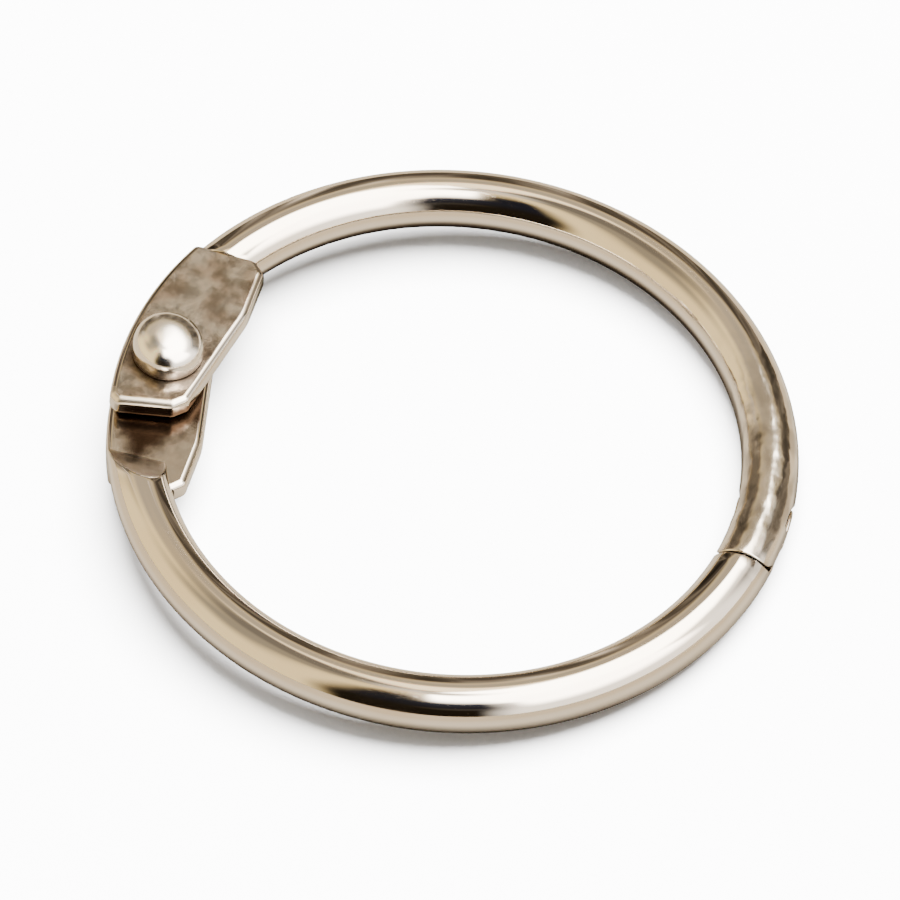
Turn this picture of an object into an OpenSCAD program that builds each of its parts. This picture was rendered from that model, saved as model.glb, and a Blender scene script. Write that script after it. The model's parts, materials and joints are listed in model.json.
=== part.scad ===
// Hinged binder ring: two half rings of round wire, riveted together at flat lugs on
// one side and lapped together on the other. Millimetres.
// The ring lies in the XY plane with its centre at the origin. The rivet is on -X and
// the closure is on +X. The upper half runs over +Y, and its lug and tongue are on top.
// The lower half is the same piece turned over about the X axis.

/* [Ring] */
// Clear inside diameter of the closed ring
inside_d = 30; // [26:0.5:60]
// Diameter of the round wire
wire_d = 3; // [2.8:0.1:4]

/* [Hinge lugs] */
// Width of a lug, across the rivet
lug_w = 4.8; // [4.4:0.1:6]
// Thickness of a lug
lug_t = 1.3; // [1.1:0.05:1.6]
// Clearance between the two lugs
lug_gap = 0.1; // [0.04:0.02:0.2]
// Distance from the rivet to the shoulder, where the round wire starts
lug_reach = 7.2; // [6.2:0.1:9]
// Distance from the rivet to the cut end of the lug
lug_tail = 3.4; // [2.8:0.1:4.2]
// Rounding of the lug's edges
lug_edge = 0.4; // [0.1:0.05:0.5]
// Depth that is cropped from the lug's corners
lug_crop = 0.3; // [0.1:0.05:0.8]
// Angle by which the lug's inner side leans inwards, on its way to the shoulder
lug_lean = 11; // [0:1:14]
// Distance from the rivet at which the leaning side turns to run straight
lug_turn = 3.2; // [2.8:0.1:3.6]
// Distance from the rivet to the start of the ramp that leads from the lug to the wire
ramp_start = 5.8; // [5.2:0.1:6]
// Length of the ramp, from the lug's inner face to the far side of the wire
ramp_len = 2.4; // [1.2:0.1:3]

/* [Rivet] */
// Diameter of the shank
shank_d = 2; // [1.6:0.1:2.4]
// Radial clearance of the shank in the lug that turns on it
shank_play = 0.05; // [0.01:0.01:0.1]
// Diameter of the domed head
dome_d = 3.7; // [3:0.1:4.4]
// Height of the domed head
dome_h = 1.8; // [1.2:0.1:2.4]
// Height of the domed head's straight rim
dome_rim = 0.5; // [0.2:0.1:1]
// Diameter of the clinched head on the other side
clinch_d = 2.8; // [2.6:0.1:3.8]
// Height of the clinched head
clinch_h = 2; // [1.2:0.1:2.4]
// Height of the clinched head's straight rim
clinch_rim = 0.9; // [0.2:0.1:1]
// Clearance between the clinched head and the lug that turns
clinch_gap = 0.04; // [0.02:0.01:0.1]

/* [Closure] */
// Length of the lap, from the tip of one tongue to the tip of the other
lap_len = 5.2; // [4.4:0.1:7]
// Clearance between the two tongues
lap_gap = 0.08; // [0.04:0.02:0.2]
// Radius of the tongue's rounded nose
nose_r = 1.2; // [0.6:0.1:1.3]
// Clearance between the nose's tip and the other half, where the seam shows
seam_gap = 0.12; // [0.06:0.02:0.3]
// Clearance under the nose inside the other half's scoop
scoop_gap = 0.6; // [0.3:0.05:0.8]
// Length over which the two tongues' lands face each other
land_len = 0.6; // [0.2:0.1:1]
// Lean of the step from a land into the scoop beside it
catch_lean = 0.1; // [0.05:0.05:0.2]

/* [Hidden] */

wire_r = wire_d / 2;
mean_r = inside_d / 2 + wire_r;       // centre line of the wire
outer_r = mean_r + wire_r;
hinge_r = outer_r - lug_w / 2;       // rivet axis, from the ring's centre
lug_low = lug_gap / 2;               // inner face of the upper lug
lug_top = lug_low + lug_t;
shank_r = shank_d / 2;
tail_angle = asin(lug_tail / hinge_r);
ramp_angle = asin(ramp_start / mean_r);
lap_angle = asin(lap_len / 2 / mean_r);

// The lug's straight sides, each as [direction from the rivet, distance from it]
inner_side = [-lug_lean, lug_w / 2];
straight_side = [0, lug_turn];
tail_side = [tail_angle - 90, lug_tail];
rim_side = [tail_angle - 180, outer_r - hinge_r * cos(tail_angle)];
shoulder_side = [90, lug_reach];
lug_sides = [
    inner_side,
    straight_side,
    tail_side,
    cropped(shoulder_side, straight_side),
    cropped(inner_side, tail_side),
    cropped(rim_side, tail_side),
];

wire_fn = 96;     // segments round the wire and the rivet
ring_fn = 240;    // segments round the whole ring
edge_fn = 32;     // segments of a small rounding
clear = 1;        // how far a cutter runs past what it cuts
weld = 0.05;      // how far joined stretches run into each other
spare_angle = 4;  // how far the wire's arc runs past its cut ends, in degrees

// A side across the corner of two sides, lug_crop in from where they meet
function cropped(side, next) = [
    (side[0] + next[0]) / 2,
    (side[1] + next[1]) / (2 * cos((side[0] - next[0]) / 2)) - lug_crop,
];

// A half plane left of x = 0, thick t and with its two corners rounded
module rounded_edge(t, r, len) {
    translate([-len, 0]) square([len - r, t]);
    translate([-len, r]) square([len, t - 2 * r]);
    for (y = [r, t - r])
        translate([-r, y]) circle(r, $fn = edge_fn);
}

// A plate that ends in a rounded side at the given direction and distance
module side_plate(side) {
    span = 2 * lug_reach;
    rotate([0, 0, side[0]])
        translate([side[1], span, 0])
            rotate([90, 0, 0])
                linear_extrude(height = 2 * span)
                    rounded_edge(lug_t, lug_edge, 2 * span);
}

// A disc over the whole ring, with a rounded rim
module rim_plate() {
    rotate_extrude($fn = ring_fn)
        intersection() {
            translate([outer_r, 0]) rounded_edge(lug_t, lug_edge, 2 * outer_r);
            square([outer_r + clear, lug_t]);
        }
}

// The upper half's lug: flat, with its outer edge on the ring's own rim
module lug() {
    translate([0, 0, lug_low])
        intersection() {
            rim_plate();
            intersection_for(side = lug_sides)
                translate([-hinge_r, 0, 0]) side_plate(side);
            translate([-outer_r - clear, -lug_reach, -clear])
                cube([outer_r, 2 * lug_reach + weld, lug_t + 2 * clear]);
        }
}

// The round wire of the upper half, from the tongue's tip to the ramp at the lug
module wire() {
    start = -lap_angle - spare_angle;
    end = 180 - ramp_angle + spare_angle;
    rotate([0, 0, start])
        rotate_extrude(angle = end - start, $fn = ring_fn)
            translate([mean_r, 0]) circle(wire_r, $fn = wire_fn);
}

// A prism along X, right through the wire at x, from a [y, z] outline
module cut_across(outline, x) {
    translate([x - 2 * wire_d, 0, 0])
        rotate([90, 0, 90])
            linear_extrude(height = 4 * wire_d) polygon(outline);
}

// A cylinder along X, right through the wire at the closure
module bore_across(y, z, r) {
    translate([mean_r, y, z])
        rotate([0, 90, 0])
            cylinder(r = r, h = 4 * wire_d, center = true, $fn = wire_fn);
}

// What is cut off the wire at the hinge: all before the shoulder, and a ramp below. The
// wire reaches into the lug between the two, by as much as the lug's edges are rounded.
module hinge_cut() {
    far = wire_r + clear;
    neck = lug_low + lug_edge;
    cut_across([
        [-far, far],
        [lug_reach, far],
        [lug_reach, neck],
        [ramp_start, neck],
        [ramp_start, lug_low],
        [ramp_start + ramp_len, -wire_r],
        [ramp_start + ramp_len, -far],
        [-far, -far],
    ], -mean_r);
}

// The nose: all past the tongue's tip, and the corner between the tip and the lap
module nose_cut(tip, low) {
    far = wire_r + clear;
    cut_across([[tip - far, far], [tip, far], [tip, -far], [tip - far, -far]], mean_r);
    difference() {
        cut_across([
            [tip - clear, low - clear],
            [tip + nose_r, low - clear],
            [tip + nose_r, low + nose_r],
            [tip - clear, low + nose_r],
        ], mean_r);
        bore_across(tip + nose_r, low + nose_r, nose_r);
    }
}

// The scoop that takes the other half's nose, which ends at y = reach below the lap
module scoop_cut(reach, low) {
    scoop_r = nose_r + scoop_gap;
    scoop_y = reach + seam_gap - scoop_r;
    scoop_z = -low - nose_r;
    roof_z = scoop_z + scoop_r;
    bore_across(scoop_y, scoop_z, scoop_r);
    cut_across([
        [land_len / 2, low],
        [land_len / 2 + catch_lean, roof_z],
        [scoop_y, roof_z],
        [scoop_y, scoop_z],
        [reach + seam_gap, scoop_z],
        [reach + seam_gap, scoop_z - wire_r],
        [0, scoop_z - wire_r],
        [0, low],
    ], mean_r);
}

// What is cut off the wire at the closure, to leave the upper tongue
module closure_cut() {
    far = wire_r + clear;
    tip = -lap_len / 2;
    low = lap_gap / 2;
    cut_across([[tip - far, low], [0, low], [0, -far], [tip - far, -far]], mean_r);
    nose_cut(tip, low);
    scoop_cut(-tip, low);
}

// The bore for the rivet, through the upper lug
module rivet_bore(play) {
    translate([-hinge_r, 0, -clear])
        cylinder(r = shank_r + play, h = lug_top + 2 * clear, $fn = wire_fn);
}

module half_ring(play) {
    difference() {
        union() {
            difference() {
                wire();
                hinge_cut();
                closure_cut();
            }
            lug();
        }
        rivet_bore(play);
    }
}

// A rivet head on z = 0: a straight rim under a spherical cap
module head(d, h, rim) {
    cap_h = h - rim;
    cap_r = (pow(d / 2, 2) + pow(cap_h, 2)) / (2 * cap_h);
    cylinder(d = d, h = rim, $fn = wire_fn);
    translate([0, 0, rim])
        intersection() {
            translate([0, 0, cap_h - cap_r]) sphere(cap_r, $fn = wire_fn);
            cylinder(d = d, h = cap_h + clear, $fn = wire_fn);
        }
}

module upper_half() {
    color([0.79, 0.76, 0.71]) half_ring(0);
}

module lower_half() {
    color([0.75, 0.72, 0.67]) rotate([180, 0, 0]) half_ring(shank_play);
}

module hinge_rivet() {
    foot = lug_top + clinch_gap;
    color([0.85, 0.82, 0.77])
        translate([-hinge_r, 0, 0]) {
            translate([0, 0, -foot]) cylinder(r = shank_r, h = foot + lug_top, $fn = wire_fn);
            translate([0, 0, lug_top]) head(dome_d, dome_h, dome_rim);
            translate([0, 0, -foot]) rotate([180, 0, 0]) head(clinch_d, clinch_h, clinch_rim);
        }
}

upper_half();
lower_half();
hinge_rivet();
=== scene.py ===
import json
import math

import bmesh
import bpy
from mathutils import Matrix, Vector


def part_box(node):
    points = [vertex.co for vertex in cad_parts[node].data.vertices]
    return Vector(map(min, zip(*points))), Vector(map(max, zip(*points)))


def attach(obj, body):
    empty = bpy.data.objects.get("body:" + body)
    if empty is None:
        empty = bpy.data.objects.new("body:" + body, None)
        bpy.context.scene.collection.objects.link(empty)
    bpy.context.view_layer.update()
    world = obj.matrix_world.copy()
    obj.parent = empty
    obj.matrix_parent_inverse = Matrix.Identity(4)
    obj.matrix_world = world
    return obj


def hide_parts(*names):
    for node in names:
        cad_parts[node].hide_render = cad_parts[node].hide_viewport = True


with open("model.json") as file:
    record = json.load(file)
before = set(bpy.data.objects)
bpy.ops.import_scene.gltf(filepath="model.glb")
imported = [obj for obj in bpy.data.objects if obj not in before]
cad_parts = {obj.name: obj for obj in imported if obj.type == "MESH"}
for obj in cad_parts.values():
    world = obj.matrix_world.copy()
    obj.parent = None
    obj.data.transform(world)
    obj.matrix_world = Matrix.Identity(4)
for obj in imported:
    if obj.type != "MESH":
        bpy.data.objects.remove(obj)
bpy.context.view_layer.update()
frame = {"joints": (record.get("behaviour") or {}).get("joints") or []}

millimetre = 0.001      # meshes are modelled in millimetres and scaled when they are finished

halfBox = [Vector(corner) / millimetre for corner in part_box("upper_half")]
rivetBox = [Vector(corner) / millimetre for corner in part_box("hinge_rivet")]
hinge = next(joint for joint in frame["joints"] if joint["name"] == "ring_swing")

ring = {
    "wireRadius": round(halfBox[1].z, 1),
    "meanRadius": round(halfBox[1].x - halfBox[1].z, 1),     # centre line of the wire
    "outerRadius": round(halfBox[1].x, 1),
    "hingeX": hinge["pos_m"][0] / millimetre,                # the rivet's axis
    "bodyStep": 1.5,        # degrees between two sections of the plain wire
    "blendSteps": 8,        # sections that turn from straight across to radial
    "rimRows": 6,           # rows of vertices along one rounded rim of the cut face
    "archRows": 54,         # rows round the wire, over the cut face
    "faceRows": 30,         # rows across the cut face
    "touching": 1e-5,       # points of the wire that are closer than this are one
}
print("frame loaded: ring of", 2 * ring["outerRadius"], "mm")

# Each half's round wire ends in a tongue at the closure and in a shoulder at its lug
closure = {
    "lapLength": 5.2,       # from the tip of one tongue to the tip of the other
    "lapGap": 0.08,         # between the two lands
    "noseRadius": 1.2,
    "seamGap": 0.12,        # between the nose's tip and the other half
    "scoopGap": 0.6,        # under the nose, inside the other half's scoop
    "landLength": 0.6,      # where the two tongues face each other
    "lean": 0.1,            # of the step from the land into the scoop
    "edge": 0.09,           # rounding of the cut edges
    "edgeShare": 0.3,       # most that the rounding takes of what the cut leaves of the wire
    "underFade": 2,         # how soon the rounding grows below the cut face's edge
    "edgeSteps": 5,
    "noseSteps": 16,
    "scoopSteps": 24,
    "landRows": (0.3, 0.6),         # rows between the nose and the land's end
    "wallRows": (0, 0.15, 0.5, 1),  # rows of the rounding at the scoop's end wall
}

shoulder = {
    "reach": 7.2,           # from the rivet's axis to where the round wire starts
    "rampStart": 5.8,       # from the rivet's axis to the ramp on the lug's other side
    "ramp": 2.4,            # length of the ramp, up to the wire's far side
    "neckRows": 6,          # rows of the wire's end that run inside the lug
    "edge": 0.08,           # rounding of its rim
    "edgeRows": (1, 0.55, 0.25, 0.07, 0),   # rows of that rounding, as shares of it
}

tip = -closure["lapLength"] / 2
landHeight = closure["lapGap"] / 2
rowCount = 2 * ring["rimRows"] + ring["archRows"] + ring["faceRows"]


def eased(before, corner, after, size, steps):
    # A corner of a line rounded over size on both its sides
    start = corner + (before - corner).normalized() * size
    end = corner + (after - corner).normalized() * size
    points = []
    for step in range(steps + 1):
        share = step / steps
        points.append(start.lerp(corner, share).lerp(corner.lerp(end, share), share))
    return points


def lapLine():
    # The cut face of the upper tongue from its tip to the end of its scoop, as (y, z)
    nose = closure["noseRadius"]
    scoop = nose + closure["scoopGap"]
    noseCentre = Vector((tip + nose, landHeight + nose))
    scoopCentre = Vector((closure["seamGap"] - tip - scoop, -landHeight - nose))
    roof = scoopCentre.y + scoop
    landEnd = Vector((closure["landLength"] / 2, landHeight))
    stepTop = Vector((landEnd.x + closure["lean"], roof))
    points = []
    for step in range(closure["noseSteps"] + 1):
        turn = math.radians(90 * step / closure["noseSteps"])
        points.append(noseCentre - nose * Vector((math.cos(turn), math.sin(turn))))
    noseEnd = points[-1]
    points += [noseEnd.lerp(landEnd, share) for share in closure["landRows"]]
    points += eased(points[-1], landEnd, stepTop, closure["edge"], closure["edgeSteps"])
    points += eased(landEnd, stepTop, Vector((scoopCentre.x, roof)), closure["edge"], closure["edgeSteps"])
    for step in range(closure["scoopSteps"] + 1):
        turn = math.radians(90 * step / closure["scoopSteps"])
        points.append(scoopCentre + scoop * Vector((math.sin(turn), math.cos(turn))))
    return points


def insideEdge(distance, edge):
    # How far a face lies inside at this distance from its rounded edge
    return edge - math.sqrt(max(0, edge ** 2 - max(0, edge - distance) ** 2))


def cutSection(height, radius):
    # Section of the wire above a flat cut face, as (out from the centre line, up)
    edge = min(closure["edge"], closure["edgeShare"] * (radius - height))
    middle = height + edge
    out = math.sqrt((radius - edge) ** 2 - middle ** 2)
    lean = math.atan2(middle, out)
    rim = []
    for row in range(ring["rimRows"]):
        turn = -math.pi / 2 + (lean + math.pi / 2) * row / ring["rimRows"]
        rim.append((out + edge * math.cos(turn), middle + edge * math.sin(turn)))
    arch = []
    for row in range(ring["archRows"] + 1):
        turn = lean + (math.pi - 2 * lean) * row / ring["archRows"]
        arch.append((radius * math.cos(turn), radius * math.sin(turn)))
    farRim = [(-side, up) for side, up in reversed(rim)]
    face = []
    for row in range(1, ring["faceRows"]):
        face.append((out * (2 * row / ring["faceRows"] - 1), height))
    return rim + arch + farRim + face


def roundSection(height, even, radius, lift=0, underEdge=0):
    # Full round section whose rows start as a cut section's and end up evenly spaced
    firstTurn = -math.pi / 2 * ring["faceRows"] / rowCount
    aboveRows = 2 * ring["rimRows"] + ring["archRows"]
    points = []
    for row, (side, up) in enumerate(cutSection(height, radius)):
        turn = math.atan2(up, side)
        evenTurn = firstTurn + 2 * math.pi * row / rowCount
        if row > aboveRows:             # rows across the cut face go below
            start = math.atan2(height, math.sqrt(radius ** 2 - height ** 2))
            share = (row - aboveRows) / ring["faceRows"]
            turn = math.pi - start + (math.pi + 2 * start) * share
        elif turn < -math.pi / 2:       # rows on the far side count on past a half turn
            turn += 2 * math.pi
        turn += (evenTurn - turn) * even
        turn += lift * math.cos(turn)
        below = max(0, -math.sin(turn) + height / radius) if underEdge else 0
        reach = radius - min(underEdge, closure["underFade"] * below)
        points.append((reach * math.cos(turn), reach * math.sin(turn)))
    return points


def sections():
    # Sections of the wire from its tip to its shoulder, each as (angle round the ring,
    # 1 for straight across or 0 for radial, share of the ramp, rows)
    mean, radius, wallEdge = ring["meanRadius"], ring["wireRadius"], closure["edge"]
    line = lapLine()
    found = []
    for y, height in line:
        shrink = insideEdge(y - tip, wallEdge)
        found.append((math.asin(y / mean), 1, 0, cutSection(height, radius - shrink)))
    wallY, wallHeight = line[-1]
    for share in closure["wallRows"]:
        y = wallY + wallEdge * share
        under = wallEdge - math.sqrt(1 - (1 - share) ** 2) * wallEdge
        found.append((math.asin(y / mean), 1, 0, roundSection(wallHeight, 0, radius, 0, under)))
    start = found[-1][0]
    lift = math.asin(lug["low"] / radius)
    edges = [shoulder["edge"] * share for share in shoulder["edgeRows"]]
    end = math.pi - math.asin((shoulder["reach"] + edges[0]) / mean)
    steps = round((end - start) / math.radians(ring["bodyStep"]))
    for step in range(1, steps):
        fromStart = min(1, step / ring["blendSteps"])
        fromEnd = min(1, (steps - step) / ring["blendSteps"])
        rows = roundSection(wallHeight, fromStart, radius, lift * (1 - fromEnd))
        turn = start + (end - start) * step / steps
        found.append((turn, 2 - fromStart - fromEnd, 1 - fromEnd, rows))
    for edge in edges:
        turn = math.pi - math.asin((shoulder["reach"] + edge) / mean)
        rows = roundSection(wallHeight, 1, radius - insideEdge(edge, edges[0]), lift)
        found.append((turn, 1, 1, rows))
    return found


def endShift(up):
    # How far the wire's end at this height lies behind its shoulder, along Y
    radius, low = ring["wireRadius"], lug["low"]
    lead = shoulder["rampStart"] - shoulder["reach"]
    turn = math.radians(360 * shoulder["neckRows"] / rowCount)
    neck = radius * math.sin(turn + math.asin(low / radius) * math.cos(turn))
    if up < low:
        return lead + shoulder["ramp"] * (low - up) / (low + radius)
    return lead * max(0, 1 - (up - low) / (neck - low))


def placeSection(loop, turn, across, ramp, rows):
    # Moves one loop of the swept wire to its section's place on the ring
    mean = ring["meanRadius"]
    for vert, (side, up) in zip(loop, rows):
        distance = mean + side
        y = mean * math.sin(turn) + ramp * endShift(up)
        straight = math.asin(min(1, y / distance))
        if turn > math.pi / 2:
            straight = math.pi - straight
        angle = turn + (straight - turn) * across
        vert.co = (distance * math.cos(angle), distance * math.sin(angle), up)


def closeShoulder(bm, loop):
    # The wire's end is three faces, with creases where the neck and the ramp meet
    neck = shoulder["neckRows"]
    crease = round(ring["faceRows"] / 4)
    farCrease = crease + rowCount // 2
    bm.faces.new(loop[crease + neck:farCrease - neck + 1])
    bm.faces.new(loop[crease:crease + neck + 1] + loop[farCrease - neck:farCrease + 1])
    bm.faces.new(loop[farCrease:] + loop[:crease + 1])


def sweepWire():
    # The circle is spun on by one step for each section, then set in its place
    bm = bmesh.new()
    upright = Matrix.Translation((ring["meanRadius"], 0, 0)) @ Matrix.Rotation(math.pi / 2, 4, "X")
    bmesh.ops.create_circle(bm, segments=rowCount, radius=ring["wireRadius"], matrix=upright)
    loop = bm.verts[:] + bm.edges[:]
    loops = []
    found = sections()
    for section in found:
        loops.append([item for item in loop if isinstance(item, bmesh.types.BMVert)])
        if len(loops) < len(found):
            loop = bmesh.ops.spin(bm, geom=loop, axis=(0, 0, 1), cent=(0, 0, 0), dvec=(0, 0, 0),
                                  angle=math.radians(ring["bodyStep"]), steps=1)["geom_last"]
    for verts, section in zip(loops, found):
        placeSection(verts, *section)
    bm.faces.new(loops[0])
    closeShoulder(bm, loops[-1])
    bmesh.ops.remove_doubles(bm, verts=bm.verts[:], dist=ring["touching"])
    bmesh.ops.dissolve_degenerate(bm, edges=bm.edges[:], dist=ring["touching"] / 10)
    bmesh.ops.recalc_face_normals(bm, faces=bm.faces[:])
    return bm


# The flat lug at the hinge
lug = {
    "width": 4.8,
    "thickness": 1.3,
    "low": 0.05,            # inner face of the upper lug, half the gap between the lugs
    "tail": 3.4,            # from the rivet's axis to the cut end
    "edge": 0.4,            # rounding of the pressed edges
    "crop": 0.3,            # cut off the corners
    "lean": 11,             # degrees that the inner side leans, on its way to the shoulder
    "turn": 3.2,            # from the rivet's axis to where that side runs straight
    "cornerRadius": 0.5,    # rounding of the upright corners
    "bendRadius": 4.0,      # rounding of the inner side's bend
    "cornerSteps": 6,
    "spare": 1.4,           # how long it is before its last cut, against the shoulder's reach
    "weld": 0.05,           # how far the lug runs into the wire
    "bore": 1.0,            # radius of the rivet hole
    "borePlay": 0.05,       # more in the lug that turns
    "rimSegments": 720,     # round the whole ring
    "edgeSegments": 7,
    "boreSegments": 128,
    "touching": 0.01,       # points of the outline that are closer than this are one
}

northward = Vector((0, 1, 0))


def heading(turn):
    return Vector((math.cos(turn), math.sin(turn), 0))


def croppedSide(side, nextSide):
    # A side across the corner of two sides, as (direction from the rivet, distance)
    half = (side[0] - nextSide[0]) / 2
    return (side[0] + nextSide[0]) / 2, (side[1] + nextSide[1]) / (2 * math.cos(half)) - lug["crop"]


def trim(bm, point, normal, solid=False):
    # Cuts away what lies beyond a plane, and closes the cut of a solid
    geometry = bm.verts[:] + bm.edges[:] + bm.faces[:]
    cut = bmesh.ops.bisect_plane(bm, geom=geometry, dist=ring["touching"], plane_co=point,
                                 plane_no=normal, clear_outer=True)
    if solid:
        edges = [item for item in cut["geom_cut"]
                 if isinstance(item, bmesh.types.BMEdge) and item.is_boundary]
        bmesh.ops.holes_fill(bm, edges=edges, sides=0)


def roundCorner(bm, centre, radius, firstTurn, lastTurn):
    # Trims a corner to an arc round the centre
    for step in range(lug["cornerSteps"] + 1):
        normal = heading(firstTurn + (lastTurn - firstTurn) * step / lug["cornerSteps"])
        trim(bm, centre + normal * radius, normal)


def cornerCentre(side, nextSide, radius):
    # Centre of the arc that touches two sides, each (direction from the rivet, distance)
    middle = (side[0] + nextSide[0]) / 2
    half = (side[0] - nextSide[0]) / 2
    across = Vector((-math.sin(middle), math.cos(middle), 0))
    first, second = side[1] - radius, nextSide[1] - radius
    return (Vector((ring["hingeX"], 0, 0)) + heading(middle) * (first + second) / (2 * math.cos(half))
            + across * (first - second) / (2 * math.sin(half)))


def rimCentre(side):
    # Centre of the arc that touches a side and the ring's own rim
    radius = lug["cornerRadius"]
    normal = heading(side[0])
    away = Vector((ring["hingeX"], 0, 0)).dot(normal) + side[1] - radius
    along = Vector((normal.y, -normal.x, 0))
    return normal * away + along * math.sqrt((ring["outerRadius"] - radius) ** 2 - away ** 2)


def cutOutline(bm):
    # Cuts a disc as wide as the ring to the lug's outline
    tailTurn = math.asin(lug["tail"] / -ring["hingeX"])
    straight = (0, lug["turn"])
    inner = (-math.radians(lug["lean"]), lug["width"] / 2)
    tail = (tailTurn - math.pi / 2, lug["tail"])
    rim = (tailTurn - math.pi, ring["outerRadius"] + ring["hingeX"] * math.cos(tailTurn))
    shoulderCrop = croppedSide((math.pi / 2, shoulder["reach"]), straight)
    firstCrop, lastCrop = croppedSide(inner, tail), croppedSide(rim, tail)
    for direction, distance in (shoulderCrop, straight, inner, firstCrop, tail, lastCrop):
        normal = heading(direction)
        trim(bm, Vector((ring["hingeX"], 0, 0)) + normal * distance, normal)
    bend, corner = lug["bendRadius"], lug["cornerRadius"]
    for side, nextSide, radius in (
            (shoulderCrop, straight, corner),
            (straight, inner, bend),
            (inner, firstCrop, corner),
            (firstCrop, tail, corner),
            (tail, lastCrop, corner)):
        roundCorner(bm, cornerCentre(side, nextSide, radius), radius, side[0], nextSide[0])
    centre = rimCentre(lastCrop)
    roundCorner(bm, centre, corner, lastCrop[0], math.atan2(centre.y, centre.x))
    trim(bm, northward * (lug["spare"] * shoulder["reach"]), northward)
    bmesh.ops.remove_doubles(bm, verts=bm.verts[:], dist=lug["touching"])


def buildLug():
    # The outline is raised, rounded and cut off at the shoulder
    bm = bmesh.new()
    bmesh.ops.create_circle(bm, cap_ends=True, segments=lug["rimSegments"], radius=ring["outerRadius"])
    cutOutline(bm)
    raised = bmesh.ops.extrude_face_region(bm, geom=bm.faces[:])["geom"]
    verts = [item for item in raised if isinstance(item, bmesh.types.BMVert)]
    bmesh.ops.translate(bm, verts=verts, vec=(0, 0, lug["thickness"]))
    bmesh.ops.recalc_face_normals(bm, faces=bm.faces[:])
    flat = [face for face in bm.faces if abs(face.normal.z) > 0.5]     # not the upright ones
    outline = list({edge for face in flat for edge in face.edges})
    bmesh.ops.bevel(bm, geom=outline, offset=lug["edge"], segments=lug["edgeSegments"], affect="EDGES",
                    profile=0.5, material=-1)
    bmesh.ops.translate(bm, verts=bm.verts[:], vec=(0, 0, lug["low"]))
    trim(bm, northward * (shoulder["reach"] + lug["weld"]), northward, solid=True)
    bmesh.ops.recalc_face_normals(bm, faces=bm.faces[:])
    return bm


def buildBore(play):
    bm = bmesh.new()
    centre = Matrix.Translation((ring["hingeX"], 0, lug["low"] + lug["thickness"] / 2))
    radius = lug["bore"] + play
    bmesh.ops.create_cone(bm, cap_ends=True, segments=lug["boreSegments"], radius1=radius, radius2=radius,
                          depth=2 * lug["thickness"], matrix=centre)
    return bm


def makeObject(bm, name):
    mesh = bpy.data.meshes.new(name)
    bm.to_mesh(mesh)
    bm.free()
    made = bpy.data.objects.new(name, mesh)
    bpy.context.scene.collection.objects.link(made)
    return made


def combine(base, other, operation):
    # Joins or cuts one closed mesh with another, and drops the other
    boolean = base.modifiers.new(operation, "BOOLEAN")
    boolean.operation = operation
    boolean.solver = "EXACT"
    boolean.object = other
    mesh = bpy.data.meshes.new_from_object(base.evaluated_get(bpy.context.evaluated_depsgraph_get()))
    base.modifiers.clear()
    old, base.data = base.data, mesh
    bpy.data.meshes.remove(old)
    bpy.data.objects.remove(other)


finish = {
    "sharp": 32,            # degrees from which an edge stays crisp
    "touching": 2e-4,       # points of a finished mesh that are closer than this are one
    "tiny": 1e-4,           # edges shorter than this go
}


def finishMesh(made):
    # Cleans the mesh, marks its crisp edges and scales it to metres
    bm = bmesh.new()
    bm.from_mesh(made.data)
    bmesh.ops.remove_doubles(bm, verts=bm.verts[:], dist=finish["touching"])
    bmesh.ops.dissolve_degenerate(bm, edges=bm.edges[:], dist=finish["tiny"])
    for edge in bm.edges:
        edge.smooth = edge.calc_face_angle(0) < math.radians(finish["sharp"])
    for face in bm.faces:
        face.smooth = True
    bmesh.ops.scale(bm, verts=bm.verts[:], vec=(millimetre, millimetre, millimetre))
    bm.to_mesh(made.data)
    bm.free()
    weighted = made.modifiers.new("even shading", "WEIGHTED_NORMAL")
    weighted.keep_sharp = True


# Where the dies have left their marks, on the upper half
marks = {
    "lugX": -11,            # the lug and the ramp are beyond this
    "pastShoulder": 0.2,    # how far past the shoulder a face still counts as the lug's
    "nearCut": 0.5,         # how far from the cut end its own marks go
    "rampY": 7,             # middle of the ramp
    "rampHalf": 1.8,        # from there to its ends
    "rampTilt": (-0.95, -0.7),      # least and most that its faces' normals point up
    "edgeTilt": (0.12, 0.985),      # the same for the rounded edge of the cut end
    "flat": 0.99,           # normals that point up or down by more than this are a flat face's
    "level": 0.05,          # most that the cut end's normals point up, and the ramp's aside
    "facing": 0.5,          # most that the cut end's normals point aside
    "inner": 0.4,           # how stamped the lug's inner face looks, beside its outer one
    "cut": 0.16,            # and the cut end's face
}


def markStamped(made, turned):
    # Tells the shader how flat each face was pressed, which also lets the painted shade lie on it, and
    # which faces are a worn edge
    stamped = []
    worn = []
    for face in made.data.polygons:
        centre, normal = face.center / millimetre, face.normal.copy()
        if turned:
            centre.yz, normal.yz = -centre.yz, -normal.yz
        beyond = centre.x < marks["lugX"]
        atLug = beyond and centre.y < shoulder["reach"] + marks["pastShoulder"]
        atTail = atLug and centre.y < marks["nearCut"] - lug["tail"]
        onRamp = beyond and abs(centre.y - marks["rampY"]) < marks["rampHalf"]
        onRamp = onRamp and abs(normal.x) < marks["level"]
        onRamp = onRamp and marks["rampTilt"][0] < normal.z < marks["rampTilt"][1]
        atEdge = atTail and marks["edgeTilt"][0] < normal.z < marks["edgeTilt"][1]
        atCut = atTail and abs(normal.z) < marks["level"] and abs(normal.x) < marks["facing"]
        worn.append(1.0 if atEdge or onRamp else 0.0)
        if atLug and normal.z > marks["flat"]:
            stamped.append(1.0)
        elif (atLug and normal.z < -marks["flat"]) or onRamp:
            stamped.append(marks["inner"])
        else:
            stamped.append(marks["cut"] if atCut else 0.0)
    for name, values in (("stamped", stamped), ("wornEdge", worn)):
        attribute = made.data.attributes.new(name, "FLOAT", "FACE")
        attribute.data.foreach_set("value", values)


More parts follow.
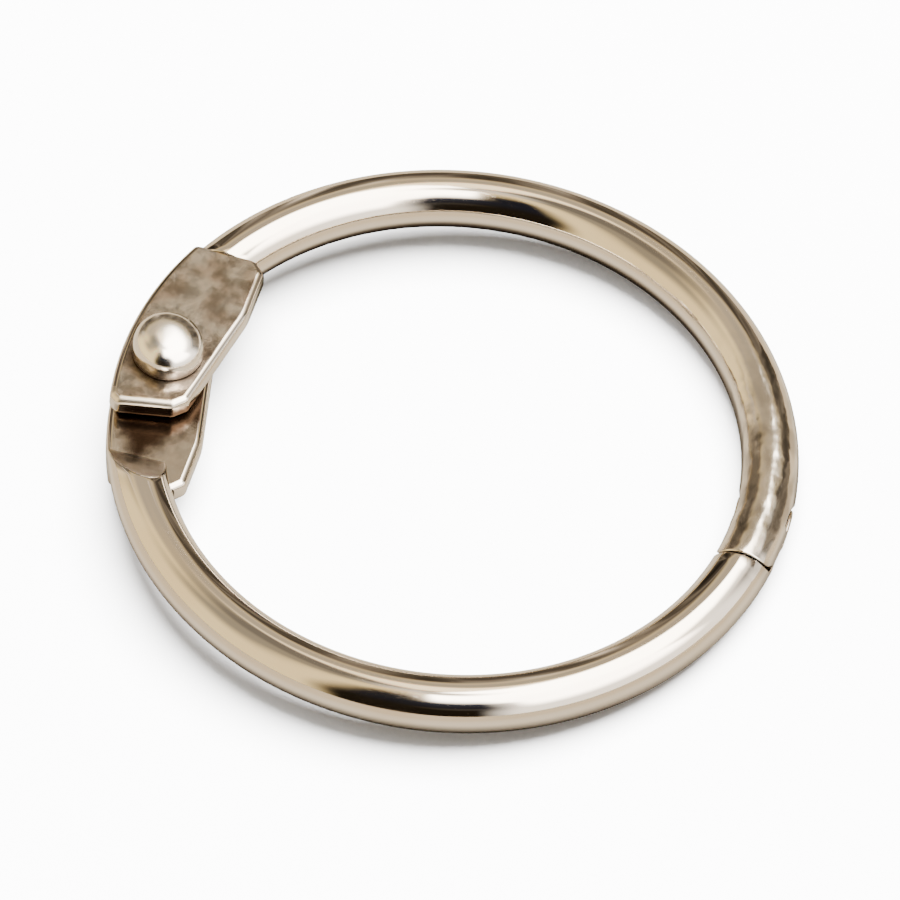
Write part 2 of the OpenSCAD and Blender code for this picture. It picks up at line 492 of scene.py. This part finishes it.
def buildHalf(name, node, body, play, turned):
    # The lower half is the same piece turned over about the X axis
    half = makeObject(sweepWire(), name)
    combine(half, makeObject(buildLug(), "lug"), "UNION")
    combine(half, makeObject(buildBore(play), "bore"), "DIFFERENCE")
    half.data.name = name
    if turned:
        half.data.transform(Matrix.Rotation(math.pi, 4, "X"))
    finishMesh(half)
    markStamped(half, turned)
    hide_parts(node)
    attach(half, body)
    return half


# The rivet that joins the two lugs
rivet = {
    "shank": 1.0,           # radius
    "domeRadius": 1.85,
    "domeRim": 0.5,         # height of the domed head's straight side
    "domePower": 2.6,       # above 2 the domed head is flatter on top and rounder at its shoulder
    "domeSteps": 40,
    "lean": 0.1,            # slope of the domed head's top, as it was set by the press
    "leanTurn": -20,        # direction that it leans to
    "clinchRadius": 1.4,
    "clinchRim": 0.9,
    "clinchGap": 0.04,      # under the lug that turns
    "capSteps": 24,
    "footRounding": 0.12,   # of the heads' lower rims
    "footSteps": 6,
    "crownRounding": 0.35,  # where the clinched head's side turns into its cap
    "crownSteps": 10,
    "steps": 128,
    "touching": 1e-4,       # points that are closer than this are one
}


def headLine(radius, rim, height):
    # Half section of a head that stands on z = 0, from its foot to its crown
    cap = height - rim
    capRadius = (radius ** 2 + cap ** 2) / (2 * cap)
    centre = height - capRadius
    foot = Vector((radius, 0))
    neck = Vector((radius, rim))
    start = math.atan2(rim - centre, radius)
    capPoints = []
    for step in range(1, rivet["capSteps"] + 1):
        turn = start + (math.pi / 2 - start) * (step / rivet["capSteps"])
        capPoints.append(Vector((capRadius * math.cos(turn), centre + capRadius * math.sin(turn))))
    near = [point for point in capPoints if (point - neck).length > rivet["crownRounding"]]
    line = eased(Vector((0, 0)), foot, neck, rivet["footRounding"], rivet["footSteps"])
    line += eased(foot, neck, near[0], rivet["crownRounding"], rivet["crownSteps"])
    line += near
    line[-1] = Vector((0, height))
    return line


def domeLine(radius, rim, height):
    # Half section of the domed head, from its foot to its crown
    bulge = 2 / rivet["domePower"]
    foot, neck = Vector((radius, 0)), Vector((radius, rim))
    line = eased(Vector((0, 0)), foot, neck, rivet["footRounding"], rivet["footSteps"])
    for step in range(rivet["domeSteps"] + 1):
        turn = math.pi / 2 * step / rivet["domeSteps"]
        out = radius * max(0, math.cos(turn)) ** bulge
        line.append(Vector((out, rim + (height - rim) * math.sin(turn) ** bulge)))
    return line


def leanDome(bm, low, high):
    # Tilts the domed head's top, and leaves its foot where it is
    turn = math.radians(rivet["leanTurn"])
    for vert in bm.verts:
        share = min(1, max(0, (vert.co.z - low) / (high - low)))
        away = (vert.co.x - ring["hingeX"]) * math.cos(turn) + vert.co.y * math.sin(turn)
        vert.co.z -= rivet["lean"] * away * share * share * (3 - 2 * share)    # eases in and out


def buildRivet():
    # One half section, spun round the hinge's axis
    bm = bmesh.new()
    top = lug["low"] + lug["thickness"]
    foot = -top - rivet["clinchGap"]
    dome = domeLine(rivet["domeRadius"], rivet["domeRim"], rivetBox[1].z - top)
    clinch = headLine(rivet["clinchRadius"], rivet["clinchRim"], foot - rivetBox[0].z)
    line = [(point.x, foot - point.y) for point in reversed(clinch)]
    line += [(rivet["shank"], foot), (rivet["shank"], top)]
    line += [(point.x, top + point.y) for point in dome]
    verts = [bm.verts.new((ring["hingeX"] + out, 0, up)) for out, up in line]
    edges = [bm.edges.new(pair) for pair in zip(verts, verts[1:])]
    bmesh.ops.spin(bm, geom=verts + edges, axis=(0, 0, 1), cent=(ring["hingeX"], 0, 0), dvec=(0, 0, 0),
                   angle=2 * math.pi, steps=rivet["steps"], use_merge=True)
    leanDome(bm, top + rivet["domeRim"], rivetBox[1].z)
    bmesh.ops.remove_doubles(bm, verts=bm.verts[:], dist=rivet["touching"])
    bmesh.ops.recalc_face_normals(bm, faces=bm.faces[:])
    made = makeObject(bm, "rivet")
    finishMesh(made)
    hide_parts("hinge_rivet")
    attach(made, "upper")
    return made


upperHalf = buildHalf("upperHalf", "upper_half", "upper", 0, False)
lowerHalf = buildHalf("lowerHalf", "lower_half", "lower", lug["borePlay"], True)
hingeRivet = buildRivet()
print("pieces built")


# Nickel plating. Noises are (scale, detail, stretch). Ramps are (from, to), or (from, to, value
# at from, value at to), and are in millimetres where they read a place
nickel = {
    "wireColour": (0.72, 0.66, 0.58),
    "rivetColour": (0.88, 0.84, 0.78),
    "handledTint": (0.97, 0.93, 0.86),      # what its colour is multiplied by where it was handled,
    "patchTint": (0.74, 0.67, 0.62),        # in patches that the press left on a lug's face,
    "paintedShadeTint": (0.17, 0.135, 0.11),        # as painted shade round the rivet, at its heads' feet and in the corners,
    "cornerShadeTint": (0.35, 0.3, 0.27),         # and as painted shadow once more under a lug's end
    "handledShare": 0.5,    # most that handling tints it
    "footShadeShare": 0.8,       # most painted shade at the feet of the rivet's heads
    "shine": 0.05,          # roughness of the plating,
    "handledShine": 0.1,    # where it has been handled,
    "stampedShine": 0.17,   # and where it was pressed flat
    "rivetShine": 0.11,     # what the rivet's satin finish adds to it
    "dentedShine": 0.1,     # what the dents add,
    "scratchedShine": 0.05,     # the scratches
    "paintedShadeShine": 0.12,     # and where the painted shade lies
    "edgeShine": 0.3,       # roughness of the worn edge at a lug's cut end
    "waveHeight": 0.004,    # heights of the surface's unevenness, in millimetres
    "drawnHeight": 0.0005,
    "scratchDepth": 0.00006,
    "dentHeight": 0.1,
    "pressedHeight": 0.018,
    "grainShare": 0.2,      # of the grains, beside what is pressed
    "waveNoise": (0.55, 1.0),
    "drawnNoise": (1.0, 3.0, (0.12, 5.0, 5.0)),         # lines along the wire
    "crossNoise": (1.0, 2.0, (0.5, 7.0, 9.0)),          # scratches across the ring
    "crossRamp": (0.66, 0.7),
    "lengthNoise": (1.0, 2.0, (0.35, 11.0, 8.0)),       # and along the wire
    "lengthRamp": (0.68, 0.72),
    "handledNoise": (0.22, 3.0),
    "handledRamp": (0.42, 0.68),
    "pressedNoise": (1.3, 3.0),
    "pressedShade": (0.32, 0.68, 0.38, 0.85),
    "grainNoise": (4.5, 2.0),
    "patchNoise": (0.6, 2.0),
    "patchRamp": (0.36, 0.64),
    "dentNoise": (1.0, 1.6, (0.6, 1.0, 1.0)),
    "dentShade": (0.35, 0.6, 0.4, 0.0),
    "dentStart": (-0.22, -0.12),            # angles from the closure between which the dents start
    "dentEnd": (0.3, 0.9, 1.0, 0.0),        # and end
    "dentSide": (0.1, 0.6),                 # and how far from the ring's middle
    "lugRamp": (0.0, 0.3),                  # how pressed flat a face is where the painted shade can lie
    "raggedEdge": 0.9,                      # how ragged the painted shade's edge is
    "rivetShade": (2.3, 3.1, 0.75, 0.0),     # painted shade round the rivet's head, from the rivet's axis
    "footShade": (1.4, 1.85, 1.0, 0.0),      # painted shade at the heads' feet, as heights
    "cornerShadeOffset": 0.2,                     # painted shadow under a lug's end: offset of its middle from the rivet's axis
    "cornerShadeSlopes": (0.3, 0.22, 0.4),        # by which it narrows, fades outwards and is ragged
    "cornerShadeRamp": (0.6, 1.05, 1.0, 0.0),
    "innerFace": (0.9, 1.3, 1.0, 0.0),      # heights, to keep it off a lug's outer face
}


def connect(tree, node, inputs):
    # Links or sets a node's inputs, which are told by number or name
    for key, value in inputs.items():
        socket = node.inputs[key]
        if isinstance(value, bpy.types.NodeSocket):
            tree.links.new(value, socket)
        else:
            socket.default_value = (*value, 1) if socket.type == "RGBA" else value
    return node


def addNode(tree, kind, inputs, operation=None):
    node = tree.nodes.new(kind)
    if operation:
        node.operation = operation
    return connect(tree, node, inputs)


def mathNode(tree, operation, *values):
    return addNode(tree, "ShaderNodeMath", dict(enumerate(values)), operation).outputs[0]


def product(tree, first, *others):
    for other in others:
        first = mathNode(tree, "MULTIPLY", first, other)
    return first


def total(tree, first, *others):
    for other in others:
        first = mathNode(tree, "ADD", first, other)
    return first


def rampNode(tree, value, low, high, start=0.0, end=1.0):
    # Runs smoothly from start to end while the value runs from low to high
    node = tree.nodes.new("ShaderNodeMapRange")
    node.interpolation_type = "SMOOTHSTEP"
    inputs = {"Value": value, "From Min": low, "From Max": high, "To Min": start, "To Max": end}
    return connect(tree, node, inputs).outputs["Result"]


def noiseNode(tree, place, scale, detail, stretch=None):
    if stretch:
        place = addNode(tree, "ShaderNodeMapping", {"Vector": place, "Scale": stretch}).outputs[0]
    inputs = {"Vector": place, "Scale": scale, "Detail": detail}
    return addNode(tree, "ShaderNodeTexNoise", inputs).outputs["Fac"]


def mixColour(tree, factor, first, second, blend="MIX"):
    node = tree.nodes.new("ShaderNodeMix")
    node.data_type = "RGBA"
    node.blend_type = blend
    return connect(tree, node, {0: factor, 6: first, 7: second}).outputs[2]


def platingPlaces(group):
    # Where a point is: as it is, in the ring's plane, and unrolled along the wire
    coordinates = group.nodes.new("ShaderNodeTexCoord")
    inputs = {0: coordinates.outputs["Object"], "Scale": 1 / millimetre}
    here = addNode(group, "ShaderNodeVectorMath", inputs, "SCALE").outputs[0]
    east, north, up = addNode(group, "ShaderNodeSeparateXYZ", {0: here}).outputs
    flat = addNode(group, "ShaderNodeCombineXYZ", {0: east, 1: north}).outputs[0]
    turn = mathNode(group, "ARCTAN2", north, east)
    reach = addNode(group, "ShaderNodeVectorMath", {0: flat}, "LENGTH").outputs["Value"]
    inputs = {0: product(group, turn, ring["meanRadius"]), 1: reach, 2: up}
    along = addNode(group, "ShaderNodeCombineXYZ", inputs).outputs[0]
    return {"here": here, "east": east, "north": north, "flat": flat, "along": along, "turn": turn,
            "up": up, "height": mathNode(group, "ABSOLUTE", up)}


def dentedWire(group, place, drawn):
    # The dies have dented the side of the wire that is over the other half's tongue
    side = product(group, place["turn"], mathNode(group, "SIGN", place["up"]))
    return product(group, rampNode(group, side, *nickel["dentStart"]),
                   rampNode(group, side, *nickel["dentEnd"]),
                   rampNode(group, place["height"], *nickel["dentSide"]), drawn)


def paintedCornerShade(group, place, pressed, given):
    # Painted shade round the rivet and at its heads' feet, and a painted shadow in the corner under a lug's
    # end
    onLug = rampNode(group, given["Stamped"], *nickel["lugRamp"])
    ragged = product(group, pressed, nickel["raggedEdge"])
    inputs = {0: place["flat"], 1: (ring["hingeX"], 0, 0)}
    fromRivet = addNode(group, "ShaderNodeVectorMath", inputs, "DISTANCE").outputs["Value"]
    aroundRivet = rampNode(group, total(group, fromRivet, ragged), *nickel["rivetShade"])
    middle = ring["hingeX"] + nickel["cornerShadeOffset"]
    across = mathNode(group, "ABSOLUTE", mathNode(group, "SUBTRACT", place["east"], middle))
    outward = mathNode(group, "SUBTRACT", mathNode(group, "ABSOLUTE", place["north"]), lug["tail"])
    wedge = total(group, *(product(group, value, slope)
                           for value, slope in zip((across, outward, ragged), nickel["cornerShadeSlopes"])))
    cornerShade = product(group, rampNode(group, wedge, *nickel["cornerShadeRamp"]),
                    rampNode(group, place["height"], *nickel["innerFace"]), onLug)
    foot = rampNode(group, place["height"], *nickel["footShade"])
    paintedShade = mathNode(group, "MAXIMUM", product(group, aroundRivet, onLug), cornerShade)
    return mathNode(group, "MAXIMUM", paintedShade, product(group, foot, given["Foot Shade"])), cornerShade


def platingMarks(group, place, given):
    # What the drawing die, the press and use have left on the metal, and painted shade in its corners
    here, along = place["here"], place["along"]
    drawn = noiseNode(group, along, *nickel["drawnNoise"])
    crossing = rampNode(group, noiseNode(group, here, *nickel["crossNoise"]), *nickel["crossRamp"])
    lengthwise = rampNode(group, noiseNode(group, along, *nickel["lengthNoise"]), *nickel["lengthRamp"])
    pressed = noiseNode(group, here, *nickel["pressedNoise"])
    paintedShade, cornerShade = paintedCornerShade(group, place, pressed, given)
    return {
        "wave": noiseNode(group, here, *nickel["waveNoise"]),
        "drawn": product(group, drawn, given["Drawn"]),
        "scratches": mathNode(group, "MAXIMUM", crossing, lengthwise),
        "handled": rampNode(group, noiseNode(group, here, *nickel["handledNoise"]), *nickel["handledRamp"]),
        "pressed": pressed,
        "grains": noiseNode(group, here, *nickel["grainNoise"]),
        "patches": rampNode(group, noiseNode(group, here, *nickel["patchNoise"]), *nickel["patchRamp"]),
        "dents": noiseNode(group, along, *nickel["dentNoise"]),
        "dented": dentedWire(group, place, given["Drawn"]),
        "paintedShade": paintedShade,
        "cornerShade": cornerShade,
    }


def platingHeight(group, mark, stamped):
    press = total(group, product(group, mark["pressed"], nickel["pressedHeight"]),
                  product(group, mark["grains"], nickel["pressedHeight"] * nickel["grainShare"]))
    return total(group, product(group, mark["wave"], nickel["waveHeight"]),
                 product(group, mark["drawn"], nickel["drawnHeight"]),
                 product(group, mark["scratches"], -nickel["scratchDepth"]),
                 product(group, mark["dents"], mark["dented"], nickel["dentHeight"]),
                 product(group, press, stamped))


def platingShine(group, mark, stamped, plain, given):
    shine = rampNode(group, mark["handled"], 0, 1, nickel["shine"], nickel["handledShine"])
    shine = total(group, shine, product(group, mark["scratches"], nickel["scratchedShine"]))
    shine = total(group, product(group, shine, plain),
                  product(group, stamped, nickel["stampedShine"]),
                  product(group, mark["paintedShade"], nickel["paintedShadeShine"]), given["Satin"],
                  product(group, mark["dented"], nickel["dentedShine"]))
    return mathNode(group, "MAXIMUM", shine, product(group, given["Worn Edge"], nickel["edgeShine"]))


def platingColour(group, mark, stamped, plain, colour):
    # Handling tints the colour, and painted shade and a painted shadow darken it
    for share, tint in (
            (product(group, mark["handled"], nickel["handledShare"]), nickel["handledTint"]),
            (mark["paintedShade"], nickel["paintedShadeTint"]),
            (mark["cornerShade"], nickel["cornerShadeTint"]),
            (product(group, mark["patches"], stamped), nickel["patchTint"])):
        colour = mixColour(group, share, colour, tint, "MULTIPLY")
    shade = product(group, rampNode(group, mark["pressed"], *nickel["pressedShade"]), stamped)
    darker = product(group, rampNode(group, mark["dents"], *nickel["dentShade"]), mark["dented"])
    shade = mathNode(group, "SUBTRACT", total(group, plain, shade), darker)
    return addNode(group, "ShaderNodeVectorMath", {0: colour, "Scale": shade}, "SCALE").outputs[0]


def makePlating():
    # Shared effect: drawing lines, plating waves, scratches, handling marks, press marks and painted shade
    group = bpy.data.node_groups.new("plating", "ShaderNodeTree")
    for name, kind, direction in (
            ("Metal", "NodeSocketColor", "INPUT"),
            ("Stamped", "NodeSocketFloat", "INPUT"),
            ("Worn Edge", "NodeSocketFloat", "INPUT"),
            ("Drawn", "NodeSocketFloat", "INPUT"),
            ("Satin", "NodeSocketFloat", "INPUT"),
            # how much painted shade the heads' feet take
            ("Foot Shade", "NodeSocketFloat", "INPUT"),
            ("Base Color", "NodeSocketColor", "OUTPUT"),
            ("Roughness", "NodeSocketFloat", "OUTPUT"),
            ("Height", "NodeSocketFloat", "OUTPUT")):
        group.interface.new_socket(name=name, in_out=direction, socket_type=kind)
    given = group.nodes.new("NodeGroupInput").outputs
    stamped = given["Stamped"]
    plain = mathNode(group, "SUBTRACT", 1.0, stamped)
    mark = platingMarks(group, platingPlaces(group), given)
    addNode(group, "NodeGroupOutput", {
        "Base Color": platingColour(group, mark, stamped, plain, given["Metal"]),
        "Roughness": platingShine(group, mark, stamped, plain, given),
        "Height": platingHeight(group, mark, stamped),
    })
    return group


def makeNickel(name, colour, drawn, satin, footShade):
    material = bpy.data.materials.new(name)
    material.use_nodes = True
    tree = material.node_tree
    shader = tree.nodes["Principled BSDF"]
    shader.inputs["Metallic"].default_value = 1
    plated = tree.nodes.new("ShaderNodeGroup")
    plated.node_tree = plating
    connect(tree, plated, {"Metal": colour, "Drawn": drawn, "Satin": satin, "Foot Shade": footShade})
    for attribute, socket in (("stamped", "Stamped"), ("wornEdge", "Worn Edge")):
        marked = tree.nodes.new("ShaderNodeAttribute")
        marked.attribute_name = attribute
        tree.links.new(marked.outputs["Fac"], plated.inputs[socket])
    bump = addNode(tree, "ShaderNodeBump", {"Distance": millimetre, "Height": plated.outputs["Height"]})
    connect(tree, shader, {
        "Base Color": plated.outputs["Base Color"],
        "Roughness": plated.outputs["Roughness"],
        "Normal": bump.outputs["Normal"],
    })
    return material


plating = makePlating()
wireNickel = makeNickel("wireNickel", nickel["wireColour"], 1, 0, 0)
rivetNickel = makeNickel("rivetNickel", nickel["rivetColour"], 0, nickel["rivetShine"],
                         nickel["footShadeShare"])
for piece in (upperHalf, lowerHalf):
    piece.data.materials.append(wireNickel)
hingeRivet.data.materials.append(rivetNickel)
print("materials made")

camera = {
    "azimuth": 12.5,
    "elevation": 52.5,
    "roll": 5.5,
    "distance": 0.82,
    "lens": 632.0,
    "sensor": 36,
    "shift": (-3 / 900, -2 / 900),       # of the picture, so the ring stands where it should
}


def makeCamera():
    turn, lift = math.radians(camera["azimuth"]), math.radians(camera["elevation"])
    back = Vector((math.sin(turn) * math.cos(lift), -math.cos(turn) * math.cos(lift), math.sin(lift)))
    right = heading(turn)
    view = Matrix((right, back.cross(right), back)).transposed().to_4x4()
    data = bpy.data.cameras.new("camera")
    data.lens = camera["lens"]
    data.sensor_width = camera["sensor"]
    data.shift_x, data.shift_y = camera["shift"]
    made = bpy.data.objects.new("camera", data)
    place = Matrix.Translation(back * camera["distance"])
    made.matrix_world = place @ view @ Matrix.Rotation(math.radians(camera["roll"]), 4, "Z")
    bpy.context.scene.collection.objects.link(made)
    bpy.context.scene.camera = made


makeCamera()

# From here on directions are told from the camera: azimuth 0 to its right, 90 straight away
# from it, and elevation up from the floor, both in degrees

# What the plating mirrors. Each patch has a middle, half width and softness in azimuth,
# the same in elevation, and a colour; later patches lie over earlier ones
surroundings = {
    "base": (1.95, 1.5, 0.78),
    "patches": (
        (-22, 62, 12, -20, 75, 12, (2.9, 2.7, 2.45)),          # pale wall on the right
        (84, 72, 10, 0, 40, 8, "heap"),                        # more rings, at the back
        (140, 60, 12, 76, 16, 8, (0.3, 0.26, 0.2)),            # dark ceiling at the back left
        (-170, 22, 16, 62, 22, 14, (0.55, 0.46, 0.32)),        # and its near end
        (95, 50, 14, 51, 10, 7, (0.8, 0.66, 0.47)),            # edge of the light at the back
        (78, 24, 8, 71, 10, 4, (3.6, 2.9, 1.9)),               # its pale far end
        (-6, 84, 5, 71, 19, 6, (16, 15, 13.5)),                # large soft light
        (-33, 28, 4, 50, 18, 12, (14, 13, 12)),                # and its near end, hanging lower
        (-85, 18, 7, 42, 18, 12, (0.05, 0.052, 0.075)),        # grey ceiling over the camera
        (-106, 14, 8, 42, 34, 12, (0.022, 0.022, 0.032)),      # opening that the camera looks through
        (-95, 25, 7, 4, 34, 14, (0.02, 0.014, 0.008)),         # dark room below it
    ),
    "zenith": (90, 6, 4, (1.6, 1.4, 1.15)),
    "heapBands": ((0.055, 0.012, 0.55), (0.22, 0.02, 0.45)),    # scales across and up, and share
    "heapDetail": 1.5,
    "heapTones": (
        (0.38, (0.03, 0.022, 0.015)),
        (0.48, (0.15, 0.12, 0.085)),
        (0.58, (0.52, 0.43, 0.32)),
        (0.7, (2.6, 2.2, 1.7)),
    ),
    "fill": (0.45, 0.45, 0.45),         # light on the paper, from all round
    "backdrop": (9.0, 9.0, 9.0),        # what the camera sees beyond the paper
}


def smoothBand(tree, value, centre, half, soft, whole=0):
    # 1 around the centre, falling smoothly to 0 within soft of half on both its sides
    away = mathNode(tree, "SUBTRACT", value, centre)
    if whole:
        away = mathNode(tree, "WRAP", away, whole / 2, -whole / 2)
    return rampNode(tree, mathNode(tree, "ABSOLUTE", away), half - soft, half + soft, 1.0, 0.0)


def heapColour(tree, azimuth, elevation):
    # More rings: broad and fine bands, upright but for a slow drift
    bands = []
    for across, along, weight in surroundings["heapBands"]:
        inputs = {0: product(tree, azimuth, across), 1: product(tree, elevation, along)}
        place = addNode(tree, "ShaderNodeCombineXYZ", inputs).outputs[0]
        bands.append(product(tree, noiseNode(tree, place, 1.0, surroundings["heapDetail"]), weight))
    tones = addNode(tree, "ShaderNodeValToRGB", {0: total(tree, *bands)})
    stops = tones.color_ramp.elements
    for position, paint in surroundings["heapTones"]:
        stops.new(position).color = (*paint, 1)
    stops.remove(stops[0])
    stops.remove(stops[-1])
    return tones.outputs[0]


def makeSurroundings():
    world = bpy.data.worlds.new("studio")
    bpy.context.scene.world = world
    world.use_nodes = True
    tree = world.node_tree
    tree.nodes.clear()
    coordinates = tree.nodes.new("ShaderNodeTexCoord")
    turn = (0, 0, math.radians(-camera["azimuth"]))
    inputs = {"Vector": coordinates.outputs["Generated"], "Rotation": turn}
    turned = addNode(tree, "ShaderNodeMapping", inputs).outputs[0]
    east, north, up = addNode(tree, "ShaderNodeSeparateXYZ", {0: turned}).outputs
    azimuth = mathNode(tree, "DEGREES", mathNode(tree, "ARCTAN2", north, east))
    elevation = mathNode(tree, "DEGREES", mathNode(tree, "ARCSINE", up))
    heap = heapColour(tree, azimuth, elevation)
    colour = surroundings["base"]
    for middle, width, soft, height, tall, fade, paint in surroundings["patches"]:
        mask = product(tree, smoothBand(tree, azimuth, middle, width, soft, 360),
                       smoothBand(tree, elevation, height, tall, fade))
        colour = mixColour(tree, mask, colour, heap if paint == "heap" else paint)
    height, tall, fade, paint = surroundings["zenith"]
    colour = mixColour(tree, smoothBand(tree, elevation, height, tall, fade), colour, paint)
    rays = tree.nodes.new("ShaderNodeLightPath").outputs
    seen = mixColour(tree, rays["Is Camera Ray"], surroundings["fill"], surroundings["backdrop"])
    colour = mixColour(tree, rays["Is Glossy Ray"], seen, colour)
    background = addNode(tree, "ShaderNodeBackground", {"Color": colour})
    addNode(tree, "ShaderNodeOutputWorld", {"Surface": background.outputs[0]})


floor = {
    "size": 3.0,            # in metres
    "farX": 16.5,           # where the wire stands on it, opposite the rivet
    "paper": (0.86, 0.86, 0.86),
    "inMetal": (0.104, 0.09, 0.07),         # the paper as the plating mirrors it, in a painted reflection colour,
    "farInMetal": (0.095, 0.077, 0.053),    # further off, painted warmer,
    "shadeInMetal": (0.012, 0.009, 0.006),  # and as painted shade under the wire
    "warmRamp": (4.5, 10),                  # distances from the wire over which it turns warmer
    "shadeRamp": (1.6, 4.2, 1.0, 0.0),      # and over which that shade fades
    "frontRamp": (-0.4, 0.7, 0.5, 1.0),     # half that shade in front, in shares of the ring's radius
}


def makePaper():
    # Painted reflection: the plating mirrors the paper in colours of its own, with a painted shade darker
    # near the wire
    material = bpy.data.materials.new("paper")
    material.use_nodes = True
    tree = material.node_tree
    tree.nodes.clear()
    rays = tree.nodes.new("ShaderNodeLightPath").outputs
    place = tree.nodes.new("ShaderNodeTexCoord").outputs["Object"]
    centre = (-ring["hingeX"] * millimetre, 0, 0)
    radius = ring["meanRadius"] * millimetre
    away = addNode(tree, "ShaderNodeVectorMath", {0: place, 1: centre}, "DISTANCE").outputs["Value"]
    gap = mathNode(tree, "ABSOLUTE", mathNode(tree, "SUBTRACT", away, radius))
    gap = mathNode(tree, "DIVIDE", gap, millimetre)
    north = addNode(tree, "ShaderNodeSeparateXYZ", {0: place}).outputs[1]
    north = mathNode(tree, "DIVIDE", north, radius)
    shade = product(tree, rampNode(tree, gap, *floor["shadeRamp"]),
                    rampNode(tree, north, *floor["frontRamp"]))
    warm = rampNode(tree, gap, *floor["warmRamp"])
    mirrored = mixColour(tree, warm, floor["inMetal"], floor["farInMetal"])
    mirrored = mixColour(tree, shade, mirrored, floor["shadeInMetal"])
    colour = mixColour(tree, rays["Is Glossy Ray"], floor["paper"], mirrored)
    paper = addNode(tree, "ShaderNodeBsdfDiffuse", {"Color": colour})
    addNode(tree, "ShaderNodeOutputMaterial", {"Surface": paper.outputs[0]})
    return material


def makeFloor():
    # Tilted a little, so the rivet's lower head and the far side of the wire both stand on it
    bm = bmesh.new()
    bmesh.ops.create_grid(bm, x_segments=1, y_segments=1, size=floor["size"] / 2)
    made = makeObject(bm, "floor")
    low, high = rivetBox[0].z, -ring["wireRadius"]
    tilt = math.atan2(high - low, floor["farX"] - ring["hingeX"])
    made.matrix_world = (Matrix.Translation(Vector((ring["hingeX"], 0, low)) * millimetre)
                         @ Matrix.Rotation(-tilt, 4, "Y"))
    made.data.materials.append(makePaper())


lights = {
    "distance": 0.9,
    "size": 0.95,
    "keyLight": (148.0, 66, 74),        # power, azimuth and elevation
    "topLight": (7.0, 175, 76),         # a second, weaker one, high on the left
}


def makeLight(name):
    # Lights the paper only; the plating mirrors the surroundings instead
    power, azimuth, elevation = lights[name]
    data = bpy.data.lights.new(name, "AREA")
    data.shape = "DISK"
    data.size = lights["size"]
    data.energy = power
    made = bpy.data.objects.new(name, data)
    lift = math.radians(elevation)
    level = heading(math.radians(azimuth + camera["azimuth"])) * math.cos(lift)
    away = Vector((level.x, level.y, math.sin(lift)))
    made.matrix_world = (Matrix.Translation(away * lights["distance"])
                         @ away.to_track_quat("Z", "Y").to_matrix().to_4x4())
    made.visible_glossy = False
    bpy.context.scene.collection.objects.link(made)


makeSurroundings()
makeFloor()
makeLight("keyLight")
makeLight("topLight")
print("stage set")
